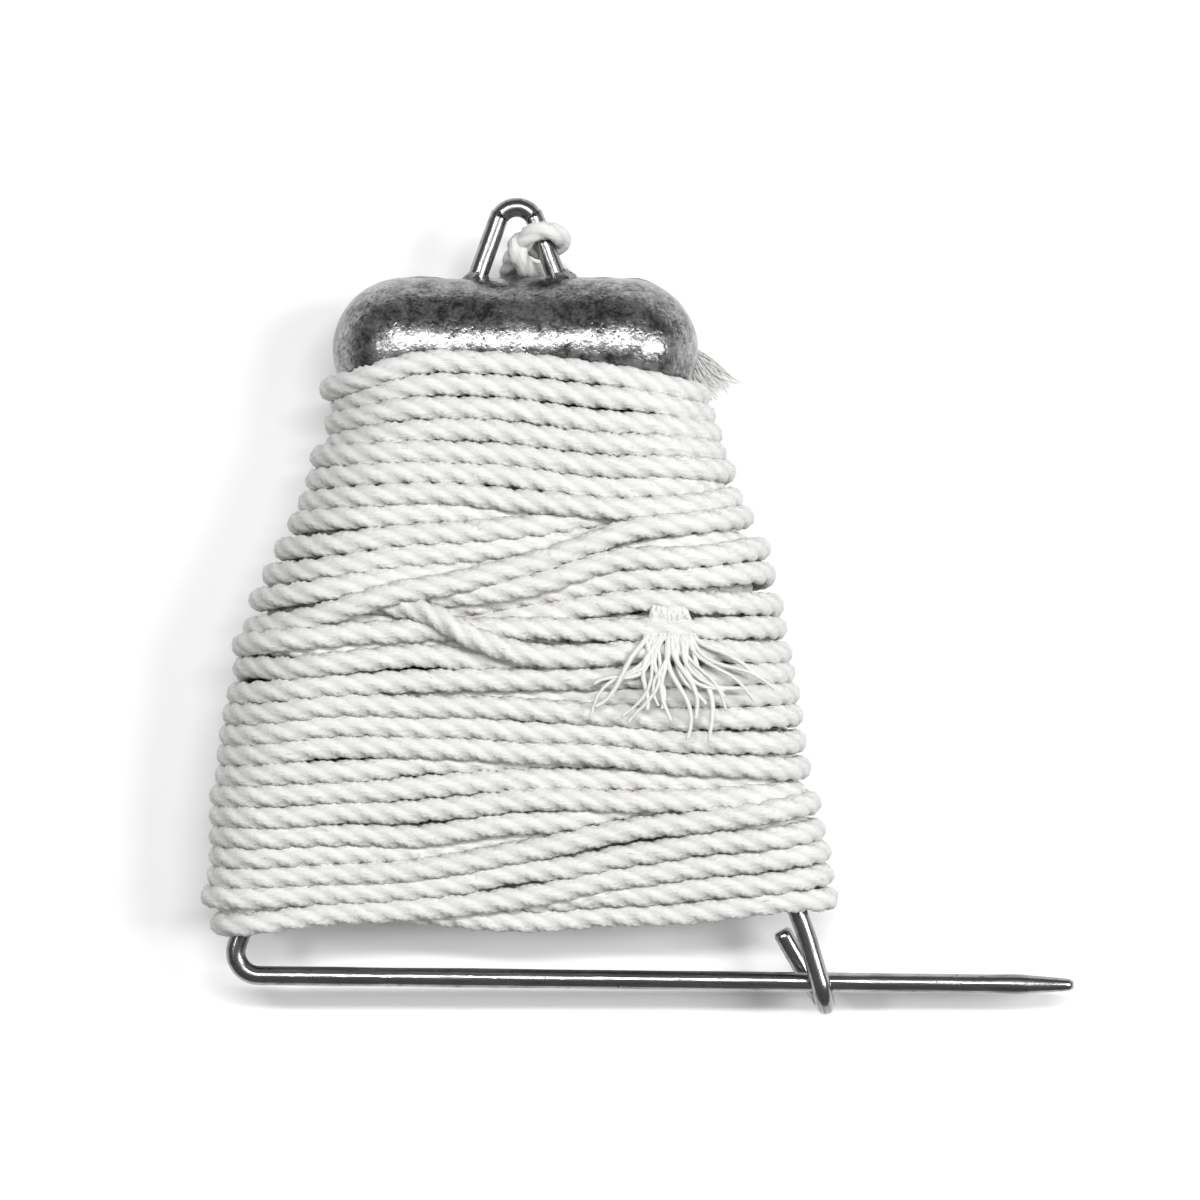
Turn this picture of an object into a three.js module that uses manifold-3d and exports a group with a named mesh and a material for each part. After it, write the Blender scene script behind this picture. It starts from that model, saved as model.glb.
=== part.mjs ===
// A plumb bob on a sprung wire line winder, in millimetres.
// One steel wire is bent like a large safety pin. It runs from a hanging loop down two spread legs.
// The left leg turns a corner into a straight spike arm, and the right leg ends in a J hook that holds
// the arm shut. A round-ended lead bar is cast on both legs under the loop, and a white twisted line is
// tied to the loop, led down behind the bar and wound round the legs.
// The bob lies on the flat back of its winding: +X towards the spike's point, +Y towards the loop,
// +Z up from the table. The wire is one length in the real object; here it is divided at its bends.

import * as THREE from 'three';
import { ConvexGeometry } from 'three/addons/geometries/ConvexGeometry.js';
import { mergeVertices } from 'three/addons/utils/BufferGeometryUtils.js';
import Module from 'manifold-3d';

const wasm = await Module();
wasm.setup();

// Wire and line stock.
const WIRE_DIAMETER = 2.4;
const LINE_DIAMETER = 3.0;

// Wire frame: where the two legs' centrelines would meet, and how far each leans out from the loop.
const APEX_X = -15.6;
const APEX_Y = 54.75;
const LEFT_LEG_LEAN = 19.8;
const RIGHT_LEG_LEAN = 20.75;
const LOOP_BEND_RADIUS = 2.5;
const CORNER_BEND_RADIUS = 2.9;
const CORNER_STUB = 0.4;

// Spike arm: how far under the winding it leaves the left leg, its slope, its tip and its ground point.
const ARM_BELOW_WINDING = 6.16;
const ARM_DROOP = 0.87;
const TIP_X = 54.5;
const POINT_LENGTH = 6.5;
const POINT_DIAMETER = 1.2;

// J hook: where the right leg passes the arm, and where the tail ends behind it.
const HOOK_LEAN = 16.9;
const HOOK_KNEE_DROP = 0.5;
const HOOK_TAIL_LEAN = 30;
const HOOK_TAIL_LENGTH = 7.2;
const HOOK_TAIL_SKEW = 1.1;
const HOOK_CLEARANCE = 0.5;

// Cast weight: a round-ended bar across the legs.
const WEIGHT_LENGTH = 45.6;
const WEIGHT_DIAMETER = 17.7;
const WEIGHT_X = -15.7;
const WEIGHT_Y = 32.25;
const WIRE_SPLIT_Y = 36;

// Winding: its foot, how far its top laps over the weight, its layers and how they nest in each other.
const WINDING_BOTTOM_Y = -39.8;
const WINDING_BELOW_WEIGHT_AXIS = 3.05;
const LAYER_NEST = 0.2;
const LAYERS_FULL = 4;
const WEIGHT_WRAP = 2.0;
const LEFT_LEG_EXTRA = 0.8;
const WINDING_END_ROUND = 1.3;

// Line knot on the loop's right limb, and the X of the line that leads down from it.
const KNOT_BELOW_APEX = 8.35;
const KNOT_WIDTH = 4.0;
const KNOT_THICKNESS = 2.5;
const LEAD_X = -16.4;

// Gaps between neighbours.
const GAP = 0.3;
const SLOT_GAP = 0.35;

const WIRE_SIDES = 12;
const LINE_SIDES = 8;
const wireRadius = WIRE_DIAMETER / 2;
const lineRadius = LINE_DIAMETER / 2;
const weightRadius = WEIGHT_DIAMETER / 2;
const weightTopY = WEIGHT_Y + weightRadius;
const weightLeftX = WEIGHT_X - WEIGHT_LENGTH / 2;
const weightRightX = WEIGHT_X + WEIGHT_LENGTH / 2;
const windingTopY = WEIGHT_Y - WINDING_BELOW_WEIGHT_AXIS;
const armCornerY = WINDING_BOTTOM_Y - ARM_BELOW_WINDING;

// Height of the wire's plane: over the winding's back, and over the line that passes behind the weight.
const MID_Z = Math.max(windingRadius(LAYERS_FULL), weightRadius + LINE_DIAMETER + 2 * GAP);

const steel = new THREE.MeshStandardMaterial({ color: 0x8c8c8a, roughness: 0.35, metalness: 1.0 });
const lead = new THREE.MeshStandardMaterial({ color: 0x5e5f60, roughness: 0.55, metalness: 0.8 });
const cotton = new THREE.MeshStandardMaterial({ color: 0xf2f1ec, roughness: 0.95, metalness: 0.0 });

const bob = new THREE.Group();

function radians(degrees) {
  return THREE.MathUtils.degToRad(degrees);
}

// Distance from a leg's centreline to the outside of a number of layers of line.
function windingRadius(layers) {
  return WIRE_DIAMETER / 2 + LINE_DIAMETER + (layers - 1) * (LINE_DIAMETER - LAYER_NEST);
}

function leftLegX(y) {
  return APEX_X - (APEX_Y - y) * Math.tan(radians(LEFT_LEG_LEAN));
}

function rightLegX(y) {
  return APEX_X + (APEX_Y - y) * Math.tan(radians(RIGHT_LEG_LEAN));
}

// A straight-and-bend wire route whose steps fall only on its own stations.
class BentRoute extends THREE.Curve {
  constructor(stations) {
    super();
    this.stations = stations;
  }

  getPoint(t) {
    const place = t * (this.stations.length - 1);
    const index = Math.min(Math.floor(place), this.stations.length - 2);
    return this.stations[index].clone().lerp(this.stations[index + 1], place - index);
  }

  getPointAt(t) {
    return this.getPoint(t);
  }

  getTangentAt(t) {
    const last = this.stations.length - 1;
    const index = Math.round(t * last);
    const ahead = this.stations[Math.min(index + 1, last)].clone();
    return ahead.sub(this.stations[Math.max(index - 1, 0)]).normalize();
  }
}

// Stations of a route through corner points, each inner corner rounded to its radius.
function roundedStations(corners, radii, stepsPerBend) {
  const stations = [corners[0]];
  for (let i = 1; i < corners.length - 1; i += 1) {
    const back = corners[i - 1].clone().sub(corners[i]).normalize();
    const ahead = corners[i + 1].clone().sub(corners[i]).normalize();
    const halfAngle = back.angleTo(ahead) / 2;
    const radius = radii[i - 1];
    const bisector = back.clone().add(ahead).normalize();
    const centre = corners[i].clone().addScaledVector(bisector, radius / Math.sin(halfAngle));
    const start = corners[i].clone().addScaledVector(back, radius / Math.tan(halfAngle)).sub(centre);
    const axis = back.clone().cross(start).normalize();
    const sweep = Math.PI - 2 * halfAngle;
    for (let step = 0; step <= stepsPerBend; step += 1) {
      const spoke = start.clone().applyAxisAngle(axis, (sweep * step) / stepsPerBend);
      stations.push(spoke.add(centre));
    }
  }
  stations.push(corners[corners.length - 1]);
  return stations;
}

function roundSection(radius, sides) {
  const points = [];
  for (let i = 0; i < sides; i += 1) {
    const angle = ((i + 0.5) / sides) * 2 * Math.PI;
    points.push(new THREE.Vector2(radius * Math.cos(angle), radius * Math.sin(angle)));
  }
  return new THREE.Shape(points);
}

function tube(route, radius, sides, steps) {
  const settings = { steps, bevelEnabled: false, extrudePath: route };
  return new THREE.ExtrudeGeometry(roundSection(radius, sides), settings);
}

function wireTube(stations) {
  return tube(new BentRoute(stations), wireRadius, WIRE_SIDES, stations.length - 1);
}

// A line run through hand-chosen points, from one end to the other.
function lineTube(points, steps) {
  return tube(new THREE.CatmullRomCurve3(points, false, 'centripetal'), lineRadius, LINE_SIDES, steps);
}

function toSolid(geometry) {
  const bare = geometry.clone();
  bare.deleteAttribute('normal');
  bare.deleteAttribute('uv');
  const merged = mergeVertices(bare, 1e-4);
  const vertProperties = new Float32Array(merged.attributes.position.array);
  const triVerts = new Uint32Array(merged.index.array);
  return new wasm.Manifold(new wasm.Mesh({ numProp: 3, vertProperties, triVerts }));
}

function toGeometry(solid) {
  const mesh = solid.getMesh();
  const geometry = new THREE.BufferGeometry();
  geometry.setAttribute('position', new THREE.BufferAttribute(mesh.vertProperties, 3));
  geometry.setIndex(new THREE.BufferAttribute(mesh.triVerts, 1));
  const faceted = geometry.toNonIndexed();
  faceted.computeVertexNormals();
  return faceted;
}

function addPiece(name, geometry, material) {
  const mesh = new THREE.Mesh(geometry, material);
  mesh.name = name;
  bob.add(mesh);
  return mesh;
}

function onFrame(x, y) {
  return new THREE.Vector3(x, y, MID_Z);
}

// The loop: a crown and two limbs whose ends are hidden in the weight.
function addLoop() {
  const corners = [
    onFrame(leftLegX(WIRE_SPLIT_Y + GAP), WIRE_SPLIT_Y + GAP),
    onFrame(APEX_X, APEX_Y),
    onFrame(rightLegX(WIRE_SPLIT_Y + GAP), WIRE_SPLIT_Y + GAP),
  ];
  addPiece('hanging_loop', wireTube(roundedStations(corners, [LOOP_BEND_RADIUS], 8)), steel);
}

// The arm's line: where the left leg meets it, and its height and depth at any X.
const corner = new THREE.Vector2(leftLegX(armCornerY), armCornerY);

function armY(x) {
  return corner.y - (x - corner.x) * Math.tan(radians(ARM_DROOP));
}

// The right leg's straight stretch ends at a slight knee, and the hook leads on from there.
const kneeY = WINDING_BOTTOM_Y - HOOK_KNEE_DROP;
const knee = onFrame(rightLegX(kneeY), kneeY);
const hookRadius = WIRE_DIAMETER + HOOK_CLEARANCE;
const hookX = knee.x + (knee.y - armY(knee.x)) * Math.tan(radians(HOOK_LEAN));

// Length of arm between the corner bend's end and the hook, over which the arm springs back behind it.
const cornerAngle = radians(90 - LEFT_LEG_LEAN + ARM_DROOP);
const armStartX = corner.x + (CORNER_BEND_RADIUS / Math.tan(cornerAngle / 2)) * Math.cos(radians(ARM_DROOP));

function armPoint(x) {
  const share = (x - armStartX) / (hookX - armStartX);
  return new THREE.Vector3(x, armY(x), MID_Z - hookRadius * share);
}

// Left leg, straight from inside the weight to the start of the corner bend.
function addLeftLeg() {
  const setback = CORNER_BEND_RADIUS / Math.tan(cornerAngle / 2);
  const bendStartY = corner.y + (setback + CORNER_STUB) * Math.cos(radians(LEFT_LEG_LEAN));
  const legEndY = bendStartY + GAP;
  const top = onFrame(leftLegX(WIRE_SPLIT_Y), WIRE_SPLIT_Y);
  addPiece('left_leg', wireTube([top, onFrame(leftLegX(legEndY), legEndY)]), steel);

  const corners = [
    onFrame(leftLegX(bendStartY), bendStartY),
    onFrame(corner.x, corner.y),
    onFrame(armStartX + CORNER_STUB, armY(armStartX + CORNER_STUB)),
  ];
  addPiece('corner_bend', wireTube(roundedStations(corners, [CORNER_BEND_RADIUS], 6)), steel);
}

// Right leg, straight from inside the weight to the knee, and the J hook round the arm.
function addRightLeg() {
  const top = onFrame(rightLegX(WIRE_SPLIT_Y), WIRE_SPLIT_Y);
  addPiece('right_leg', wireTube([top, knee.clone()]), steel);

  const down = new THREE.Vector3(Math.sin(radians(HOOK_LEAN)), -Math.cos(radians(HOOK_LEAN)), 0);
  const start = knee.clone().addScaledVector(down, GAP);
  const front = new THREE.Vector3(hookX, armY(hookX), MID_Z);
  const stations = [start, front];
  const bendSteps = 8;
  for (let i = 1; i <= bendSteps; i += 1) {
    const share = i / bendSteps;
    const depth = hookRadius * Math.sin(Math.PI * share);
    const lean = THREE.MathUtils.lerp(HOOK_LEAN, HOOK_TAIL_LEAN, share);
    const x = front.x - HOOK_TAIL_SKEW * share + depth * Math.tan(radians(lean));
    const z = MID_Z - hookRadius * (1 - Math.cos(Math.PI * share));
    stations.push(new THREE.Vector3(x, front.y - depth, z));
  }
  const bendEnd = stations[stations.length - 1].clone();
  const tail = new THREE.Vector3(-Math.sin(radians(HOOK_TAIL_LEAN)), Math.cos(radians(HOOK_TAIL_LEAN)), 0);
  stations.push(bendEnd.addScaledVector(tail, HOOK_TAIL_LENGTH));
  addPiece('spring_hook', wireTube(stations), steel);
}

// Spike arm: plain wire to the start of a ground point with a small flat end.
function addSpikeArm() {
  const start = armPoint(armStartX + CORNER_STUB + GAP);
  const tip = armPoint(TIP_X);
  const length = start.distanceTo(tip);
  const profile = [
    new THREE.Vector2(0, 0),
    new THREE.Vector2(wireRadius, 0),
    new THREE.Vector2(wireRadius, length - POINT_LENGTH),
    new THREE.Vector2(POINT_DIAMETER / 2, length),
    new THREE.Vector2(0, length),
  ];
  const arm = addPiece('spike_arm', new THREE.LatheGeometry(profile, WIRE_SIDES), steel);
  arm.position.copy(start);
  arm.quaternion.setFromUnitVectors(new THREE.Vector3(0, 1, 0), tip.clone().sub(start).normalize());
}

// A round-ended bar along X, grown all round by a margin.
function barGeometry(margin) {
  const radius = weightRadius + margin;
  const half = WEIGHT_LENGTH / 2 - weightRadius;
  const profile = [];
  const arcSteps = 8;
  for (let i = 0; i <= arcSteps; i += 1) {
    const angle = (Math.PI / 2) * (i / arcSteps);
    profile.push(new THREE.Vector2(radius * Math.sin(angle), -half - radius * Math.cos(angle)));
  }
  for (let i = 0; i <= arcSteps; i += 1) {
    const angle = (Math.PI / 2) * (1 - i / arcSteps);
    profile.push(new THREE.Vector2(radius * Math.sin(angle), half + radius * Math.cos(angle)));
  }
  profile[0].x = 0;
  profile[profile.length - 1].x = 0;
  const bar = new THREE.LatheGeometry(profile, 32);
  bar.rotateZ(-Math.PI / 2);
  bar.translate(WEIGHT_X, WEIGHT_Y, MID_Z);
  return bar;
}

// The channel that a leg fills, from above the weight to below it.
function legChannel(legX) {
  const reach = WEIGHT_DIAMETER;
  const ends = [WEIGHT_Y + reach, WEIGHT_Y - reach].map((y) => onFrame(legX(y), y));
  return toSolid(tube(new BentRoute(ends), wireRadius + GAP, WIRE_SIDES, 1));
}

function addWeight() {
  const cast = toSolid(barGeometry(0)).subtract(legChannel(leftLegX)).subtract(legChannel(rightLegX));
  addPiece('cast_weight', toGeometry(cast), lead);
}

// One ring of the winding's outside: a stadium round both legs, at height Y up them.
function windingRing(y, radius, leftX, rightX) {
  const points = [];
  const arcSteps = 10;
  for (let i = 0; i <= arcSteps; i += 1) {
    const angle = Math.PI / 2 + (Math.PI * i) / arcSteps;
    const x = leftX + radius * (1 + Math.cos(angle));
    points.push(new THREE.Vector3(x, y, MID_Z + radius * Math.sin(angle)));
  }
  for (let i = 0; i <= arcSteps; i += 1) {
    const angle = -Math.PI / 2 + (Math.PI * i) / arcSteps;
    const x = rightX - radius * (1 - Math.cos(angle));
    points.push(new THREE.Vector3(x, y, MID_Z + radius * Math.sin(angle)));
  }
  return points;
}

// A ring drawn round the legs alone, with the left leg's extra build-up.
function legRing(y, radius, leftExtra) {
  return windingRing(y, radius, leftLegX(y) - radius - leftExtra, rightLegX(y) + radius);
}

// A ring drawn round the weight's ends, which it clears by the thickness of line pressed round them.
function weightRing(y, radius, wall) {
  const inset = weightRadius - Math.sqrt(weightRadius ** 2 - (y - WEIGHT_Y) ** 2);
  return windingRing(y, radius, weightLeftX + inset - wall, weightRightX - inset + wall);
}

// The winding's outer shape: four layers from the weight to mid leg, three, two, then one at the foot.
function windingOutside() {
  const full = windingRadius(LAYERS_FULL);
  const span = windingTopY - WINDING_BOTTOM_Y;
  const rings = [
    weightRing(windingTopY, full - WINDING_END_ROUND, WEIGHT_WRAP / 2),
    weightRing(windingTopY - WINDING_END_ROUND, full, WEIGHT_WRAP),
    legRing(windingTopY - 0.53 * span, full, LEFT_LEG_EXTRA / 2),
    legRing(windingTopY - 0.71 * span, windingRadius(LAYERS_FULL - 1), LEFT_LEG_EXTRA),
    legRing(windingTopY - 0.87 * span, windingRadius(LAYERS_FULL - 2), LEFT_LEG_EXTRA),
    legRing(WINDING_BOTTOM_Y + WINDING_END_ROUND, windingRadius(1) + 0.4, 0),
    legRing(WINDING_BOTTOM_Y, windingRadius(1) - WINDING_END_ROUND, 0),
  ];
  return toSolid(new ConvexGeometry(rings.flat()));
}

// The flat hollow inside the innermost turns, which holds both legs.
function windingHollow() {
  const beyond = 2;
  const top = WEIGHT_Y;
  const bottom = WINDING_BOTTOM_Y - beyond;
  const side = wireRadius / Math.cos(radians(RIGHT_LEG_LEAN)) + SLOT_GAP;
  const outline = new THREE.Shape([
    new THREE.Vector2(leftLegX(bottom) - side, bottom),
    new THREE.Vector2(rightLegX(bottom) + side, bottom),
    new THREE.Vector2(rightLegX(top) + side, top),
    new THREE.Vector2(leftLegX(top) - side, top),
  ]);
  const depth = WIRE_DIAMETER + 2 * SLOT_GAP;
  const slot = new THREE.ExtrudeGeometry(outline, { depth, bevelEnabled: false });
  slot.translate(0, 0, MID_Z - depth / 2);
  return toSolid(slot);
}

function addWinding() {
  const winding = windingOutside().subtract(toSolid(barGeometry(GAP))).subtract(windingHollow());
  addPiece('line_winding', toGeometry(winding), cotton);
}

// Line knot: a ring of line drawn tight round the loop's right limb.
function addKnot() {
  const inner = wireRadius + GAP;
  const middle = inner + KNOT_THICKNESS / 2;
  const outer = inner + KNOT_THICKNESS;
  const profile = [
    new THREE.Vector2(inner, -KNOT_WIDTH / 4),
    new THREE.Vector2(middle, -KNOT_WIDTH / 2),
    new THREE.Vector2(outer, -KNOT_WIDTH / 4),
    new THREE.Vector2(outer, KNOT_WIDTH / 4),
    new THREE.Vector2(middle, KNOT_WIDTH / 2),
    new THREE.Vector2(inner, KNOT_WIDTH / 4),
    new THREE.Vector2(inner, -KNOT_WIDTH / 4),
  ];
  const knotY = APEX_Y - KNOT_BELOW_APEX;
  const knot = addPiece('line_knot', new THREE.LatheGeometry(profile, 20), cotton);
  knot.position.copy(onFrame(rightLegX(knotY), knotY));
  knot.rotation.z = radians(RIGHT_LEG_LEAN);
}

// Line runs behind the weight: the lead goes down into the winding, the tail crosses to the right.
function addLineRuns() {
  const behindZ = MID_Z - weightRadius - GAP - lineRadius - 0.1;
  const leadPoints = [
    new THREE.Vector3(LEAD_X + 0.6, weightTopY + 3.0, MID_Z - 4.4),
    new THREE.Vector3(LEAD_X + 0.2, weightTopY + 1.6, MID_Z - 8.0),
    new THREE.Vector3(LEAD_X, weightTopY - 1.6, behindZ + 0.5),
    new THREE.Vector3(LEAD_X, weightTopY - 5.0, behindZ),
    new THREE.Vector3(LEAD_X, windingTopY + GAP, behindZ),
  ];
  addPiece('line_lead', lineTube(leadPoints, 9), cotton);

  const tailPoints = [
    new THREE.Vector3(LEAD_X + 5.6, weightTopY + 1.6, MID_Z - 6.4),
    new THREE.Vector3(LEAD_X + 6.8, weightTopY + 0.4, MID_Z - 9.0),
    new THREE.Vector3(LEAD_X + 10.4, weightTopY - 2.6, behindZ),
    new THREE.Vector3(LEAD_X + 16.9, weightTopY - 5.6, behindZ),
    new THREE.Vector3(weightRightX - 2.0, WEIGHT_Y + 1.6, behindZ),
  ];
  addPiece('line_tail', lineTube(tailPoints, 9), cotton);

  const tuft = new THREE.CylinderGeometry(lineRadius + 0.9, lineRadius * 0.8, 7.0, LINE_SIDES);
  const tailTuft = addPiece('tail_fray', tuft, cotton);
  tailTuft.scale.z = 0.6;
  tailTuft.rotation.z = radians(-142);
  tailTuft.position.set(weightRightX + 1.75, WEIGHT_Y - 1.9, behindZ + 0.8);
}

// The frayed free end: a thin fan of yarns that lies on the front of the winding.
function addFreeEnd() {
  const fan = new THREE.Shape([
    new THREE.Vector2(0.6, -4.6),
    new THREE.Vector2(-6.6, -11.2),
    new THREE.Vector2(-2.0, -14.6),
    new THREE.Vector2(5.0, -15.4),
    new THREE.Vector2(12.0, -14.0),
    new THREE.Vector2(6.4, -4.6),
  ]);
  const thickness = 0.8;
  const yarns = new THREE.ExtrudeGeometry(fan, { depth: thickness, bevelEnabled: false });
  const freeEnd = addPiece('free_end_fray', yarns, cotton);
  freeEnd.position.z = MID_Z + windingRadius(LAYERS_FULL) + GAP;
}

addLoop();
addLeftLeg();
addRightLeg();
addSpikeArm();
addWeight();
addWinding();
addKnot();
addLineRuns();
addFreeEnd();

export default bob;
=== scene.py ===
"""Plumb bob on a sprung wire line winder: the looks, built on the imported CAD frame.

One steel wire is bent like a large safety pin. A round-ended lead bar is cast on its two legs under the
hanging loop. A white three-strand cotton line is tied to the loop and wound round the legs in about four
layers. The lamps and the table top are given in metres.
"""

from __future__ import annotations

import logging
import math
import random
from dataclasses import dataclass, field
from enum import Enum

import bpy
import numpy as np
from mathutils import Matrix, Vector, noise
from mathutils.kdtree import KDTree


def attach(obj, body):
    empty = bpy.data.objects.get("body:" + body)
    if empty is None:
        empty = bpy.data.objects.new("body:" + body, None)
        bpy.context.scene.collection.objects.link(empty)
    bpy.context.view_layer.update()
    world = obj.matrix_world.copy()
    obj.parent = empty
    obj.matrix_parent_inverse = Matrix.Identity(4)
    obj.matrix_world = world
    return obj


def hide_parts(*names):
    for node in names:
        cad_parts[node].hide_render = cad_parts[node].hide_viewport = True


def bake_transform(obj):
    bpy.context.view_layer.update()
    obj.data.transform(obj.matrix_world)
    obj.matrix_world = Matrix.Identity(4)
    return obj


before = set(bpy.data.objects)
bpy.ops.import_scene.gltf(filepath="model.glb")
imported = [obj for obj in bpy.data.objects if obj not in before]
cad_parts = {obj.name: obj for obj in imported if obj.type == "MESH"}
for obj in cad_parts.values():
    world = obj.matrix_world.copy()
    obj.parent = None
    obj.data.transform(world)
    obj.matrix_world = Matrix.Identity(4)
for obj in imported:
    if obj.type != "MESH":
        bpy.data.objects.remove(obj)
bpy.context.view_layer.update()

log = logging.getLogger("plumb_bob")

MM = 0.001
LAY_MAP = "Lay"
GROOVE = "groove"
NEARLY_UPRIGHT = 0.9

Row = tuple[float, float, float, float, float]


class Body(Enum):
    """The CAD bodies that pieces ride on."""

    FRAME = "frame"
    SPIKE = "spike_arm"


class Slot(Enum):
    """The record's material slots."""

    WIRE = "wire"
    LEAD = "lead"
    LINE = "line"


class Face(Enum):
    """The two broad sides of the winding."""

    FRONT = 1
    BACK = -1


# -------------------------------------------------------------------------------- curves


def unit(vectors: np.ndarray) -> np.ndarray:
    """The same vectors, each one unit long."""
    return vectors / np.maximum(np.linalg.norm(vectors, axis=-1, keepdims=True), 1e-9)


def distances(points: np.ndarray) -> np.ndarray:
    """How far each point lies along its route."""
    steps = np.linalg.norm(np.diff(points, axis=0), axis=1)
    return np.concatenate([[0.0], np.cumsum(steps)])


def spline(points: np.ndarray, parts: int = 6) -> np.ndarray:
    """A smooth curve through the points.

    Args:
        points: The points that it passes through.
        parts: How many parts each span between two of them is divided into.

    Returns:
        The curve's points, with both of its ends.
    """
    ends = np.vstack([2 * points[0] - points[1], points, 2 * points[-1] - points[-2]])
    t = np.linspace(0, 1, parts, endpoint=False)[None, :, None]
    p0, p1, p2, p3 = (ends[i : len(ends) - 3 + i, None, :] for i in range(4))
    square, cube = 2 * p0 - 5 * p1 + 4 * p2 - p3, 3 * p1 - p0 - 3 * p2 + p3
    curve = 2 * p1 + (p2 - p0) * t + square * t**2 + cube * t**3
    return np.vstack([0.5 * curve.reshape(-1, 3), points[-1:]])


def at_distances(points: np.ndarray, wanted: np.ndarray) -> np.ndarray:
    """Points at the wanted distances along a route."""
    along = distances(points)
    return np.stack([np.interp(wanted, along, points[:, axis]) for axis in range(3)], axis=1)


def stepped(points: np.ndarray, step: float) -> np.ndarray:
    """The smooth route through some points, evenly stepped.

    Args:
        points: The points that it passes through.
        step: About how far apart its own points are to be.

    Returns:
        The route's points.
    """
    curve = spline(points)
    length = distances(curve)[-1]
    return at_distances(curve, np.linspace(0, length, max(3, round(length / step) + 1)))


def bend(corner: np.ndarray, back: np.ndarray, ahead: np.ndarray, radius: float, steps: int) -> np.ndarray:
    """The arc that rounds one corner of a route.

    Args:
        corner: The corner.
        back: A point on the straight before it.
        ahead: A point on the straight after it.
        radius: The bend's centreline radius.
        steps: How many parts the arc is divided into.

    Returns:
        The arc's points, with both of its ends.
    """
    before, after = unit(back - corner), unit(ahead - corner)
    half = math.acos(float(np.clip(before @ after, -1, 1))) / 2
    centre = corner + unit(before + after) * radius / math.sin(half)
    start = corner + before * radius / math.tan(half) - centre
    end = corner + after * radius / math.tan(half) - centre
    sweep = math.pi - 2 * half
    t = np.linspace(0, 1, steps + 1)[:, None]
    return centre + (np.sin((1 - t) * sweep) * start + np.sin(t * sweep) * end) / math.sin(sweep)


def carried_frames(points: np.ndarray) -> tuple[np.ndarray, np.ndarray]:
    """Directions square to a route, carried along it without twist.

    Args:
        points: The route.

    Returns:
        A direction to the side and a direction up at each of its points.
    """
    ahead = unit(np.gradient(points, axis=0))
    side = np.zeros_like(points)
    upright = abs(ahead[0][2]) >= NEARLY_UPRIGHT
    side[0] = unit(np.cross(ahead[0], (1.0, 0.0, 0.0) if upright else (0.0, 0.0, 1.0)))
    for i in range(1, len(points)):
        side[i] = unit(side[i - 1] - ahead[i] * (side[i - 1] @ ahead[i]))
    return side, np.cross(ahead, side)


def round_angles(count: int) -> np.ndarray:
    """Even angles once round a ring."""
    return np.linspace(0, 2 * math.pi, count, endpoint=False)


def tube_rings(route: np.ndarray, reach: np.ndarray, angle: np.ndarray) -> np.ndarray:
    """Rings of points round a route.

    Args:
        route: The centreline.
        reach: How far out each ring's points are, as a row of one or more numbers for each ring.
        angle: Where round the ring the points are, as one row for all rings or a row for each.

    Returns:
        The points, ring by ring.
    """
    side, up = carried_frames(route)
    around = np.cos(angle)[..., None] * side[:, None, :] + np.sin(angle)[..., None] * up[:, None, :]
    return route[:, None, :] + reach[..., None] * around


# -------------------------------------------------------------------------------- meshes


@dataclass
class Skin:
    """A tube's surface: rings of points, with how far along it and how deep in a groove each one is."""

    rings: np.ndarray
    along: np.ndarray
    groove: np.ndarray | None = None

    def mesh(self, name: str) -> bpy.types.Mesh:
        """The closed mesh.

        Args:
            name: The mesh's name.

        Returns:
            The mesh, in metres, with a map of how far round and along it each face corner is for the finish.
        """
        count, sides = self.rings.shape[:2]
        row, column = np.meshgrid(np.arange(count - 1), np.arange(sides), indexing="ij")
        after = (column + 1) % sides
        here, above = row * sides, (row + 1) * sides
        quads = np.stack([here + column, here + after, above + after, above + column], axis=-1).reshape(-1, 4)
        caps = [list(range(sides))[::-1], list(range((count - 1) * sides, count * sides))]
        mesh = bpy.data.meshes.new(name)
        mesh.from_pydata((self.rings.reshape(-1, 3) * MM).tolist(), [], quads.tolist() + caps)
        u = np.stack([column, column + 1, column + 1, column], axis=-1).reshape(-1) / sides
        v = self.along[np.stack([row, row, row + 1, row + 1], axis=-1).reshape(-1)]
        lay = np.zeros((len(mesh.loops), 2))
        lay[: len(u), 0] = u
        lay[: len(v), 1] = v * MM
        mesh.uv_layers.new(name=LAY_MAP).data.foreach_set("uv", lay.ravel())
        if self.groove is not None:
            depth = mesh.attributes.new(GROOVE, "FLOAT", "POINT")
            depth.data.foreach_set("value", self.groove.ravel().astype(np.float32))
        mesh.polygons.foreach_set("use_smooth", [True] * len(quads) + [False, False])
        mesh.validate()
        return mesh


def piece(
    name: str, mesh: bpy.types.Mesh, finish: bpy.types.Material, slot: Slot, *nodes: str
) -> bpy.types.Object:
    """Puts a named piece in the scene.

    Args:
        name: The piece's name.
        mesh: Its shape.
        finish: Its material.
        slot: Not used.
        *nodes: The CAD nodes that it stands for.

    Returns:
        The piece.
    """
    made = bpy.data.objects.new(name, mesh)
    bpy.context.scene.collection.objects.link(made)
    mesh.materials.append(finish)
    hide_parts(*nodes)
    log.info("%s: %d faces", name, len(mesh.polygons))
    return made


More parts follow.
